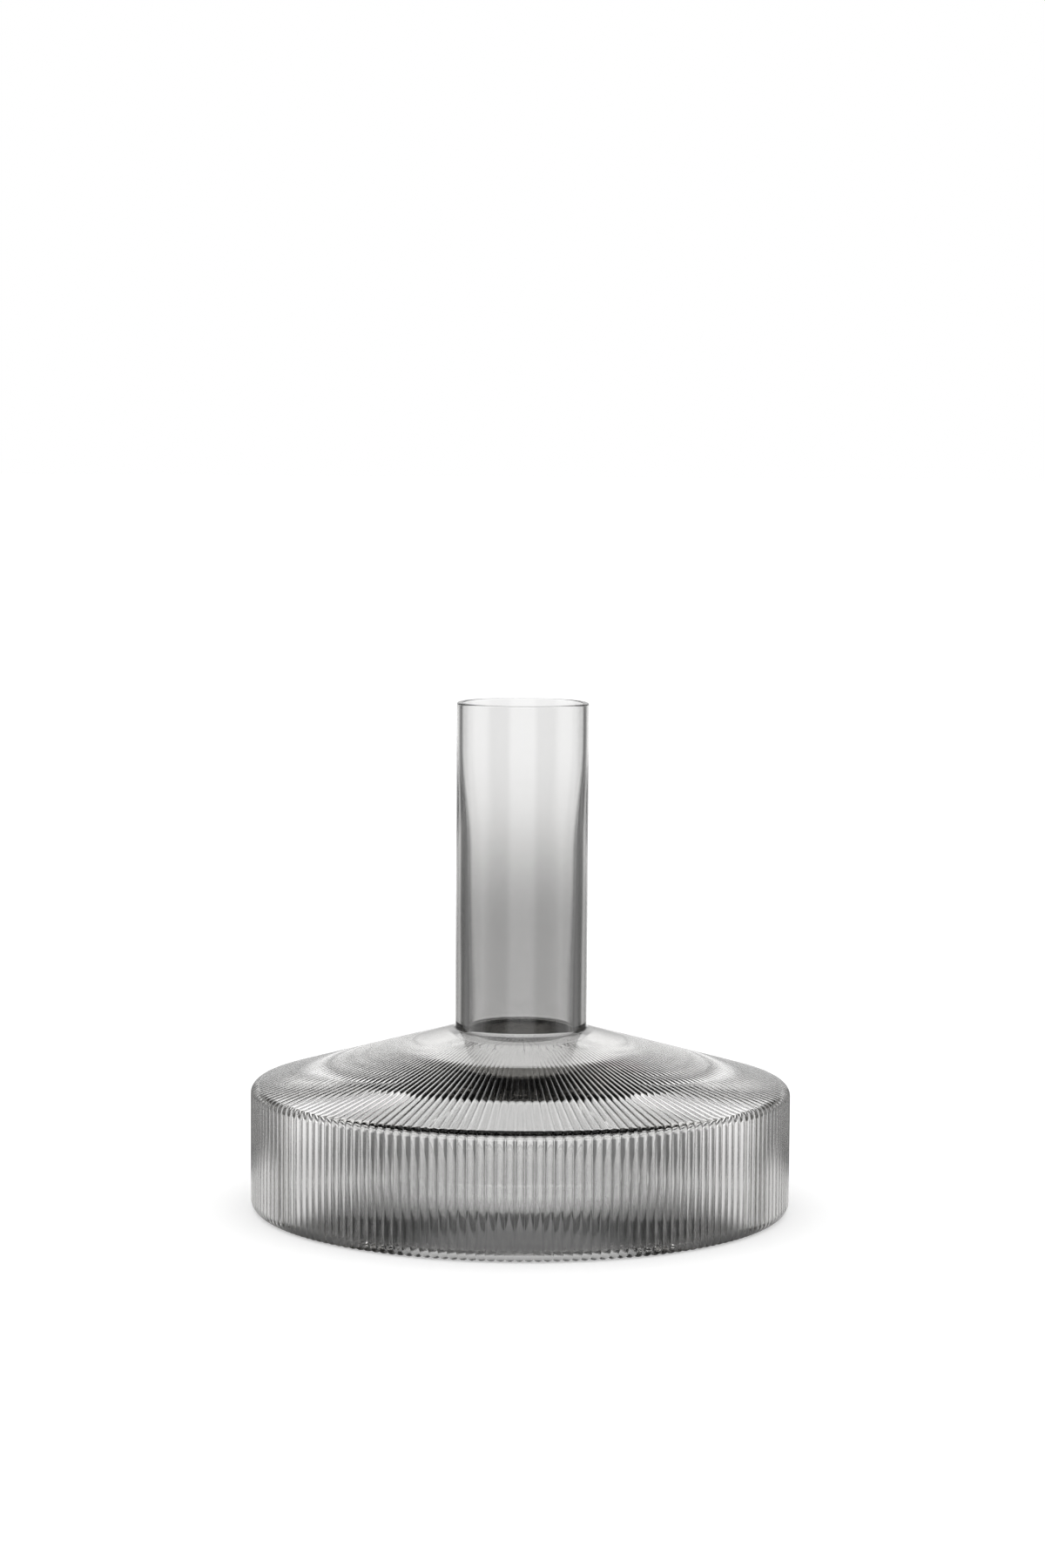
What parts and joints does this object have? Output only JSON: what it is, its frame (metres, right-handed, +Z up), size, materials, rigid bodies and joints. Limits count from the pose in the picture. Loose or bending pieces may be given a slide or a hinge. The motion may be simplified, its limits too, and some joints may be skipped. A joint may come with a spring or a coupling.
{
  "type": "wine carafe",
  "caption": "Wide-bodied glass carafe for wine: ribbed flat body, smooth straight neck open at the top, free-standing on a foot ring.",
  "frame": {"origin": "centre of the foot ring, on the surface that the carafe stands on", "axes": "+Z up along the neck's axis; the carafe is round, so +X and +Y only point at rib crests"},
  "size_m": [0.21, 0.21, 0.1975],
  "materials": {
    "smoke_glass": "clear mouth-blown glass with a light smoke-grey tint, glossy, fire-polished rim"
  },
  "bodies": {
    "root": {"floor_disc": "smoke_glass", "heel": "smoke_glass", "side_wall": "smoke_glass", "shoulder": "smoke_glass", "collar": "smoke_glass", "neck": "smoke_glass"}
  },
  "joints": []
}
